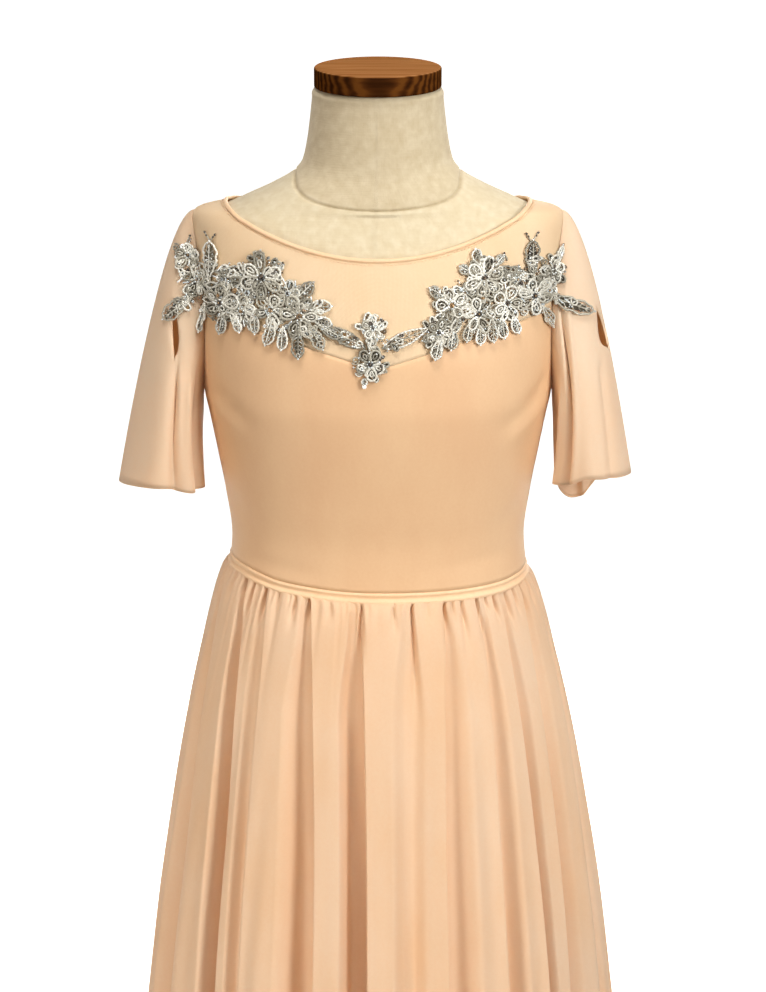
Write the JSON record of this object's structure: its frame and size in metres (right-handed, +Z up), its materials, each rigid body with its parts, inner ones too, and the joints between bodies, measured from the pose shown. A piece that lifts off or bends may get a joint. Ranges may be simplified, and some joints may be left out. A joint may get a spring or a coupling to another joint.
{
  "type": "lyrical dance dress on a limbless dress form",
  "caption": "Lyrical dance dress with sheer yoke, flutter sleeves, gathered chiffon skirt and silver flower appliqués, worn by a limbless linen dress form on a round stand.",
  "frame": {"origin": "centre of the stand's underside, on the floor", "axes": "+Z up, the dress faces -Y, +X to the viewer's right of the front"},
  "size_m": [0.4621, 0.4025, 1.4085],
  "materials": {
    "steel": "satin brushed steel",
    "linen": "plain-woven natural linen, pulled smooth over the form",
    "walnut": "dark walnut, satin varnish",
    "satin": "peach stretch satin, soft sheen",
    "mesh": "fine sheer stretch mesh, peach",
    "edging": "narrow folded stretch binding, peach",
    "chiffon": "sheer peach chiffon, soft and fluid",
    "silver": "silver corded lace with sequins, beads and clear stones"
  },
  "bodies": {
    "root": {"stand_base": "steel", "stand_pole": "steel", "form_torso": "linen", "neck_cap": "walnut", "bodice_front": "satin", "bodice_back": "satin", "yoke_front": "mesh", "yoke_back": "mesh", "neck_binding": "edging", "waist_binding": "edging", "sleeve_left": "chiffon", "sleeve_right": "chiffon", "skirt_front": "chiffon", "skirt_back": "chiffon", "applique_left": "silver", "applique_right": "silver", "applique_centre": "silver"}
  },
  "joints": []
}
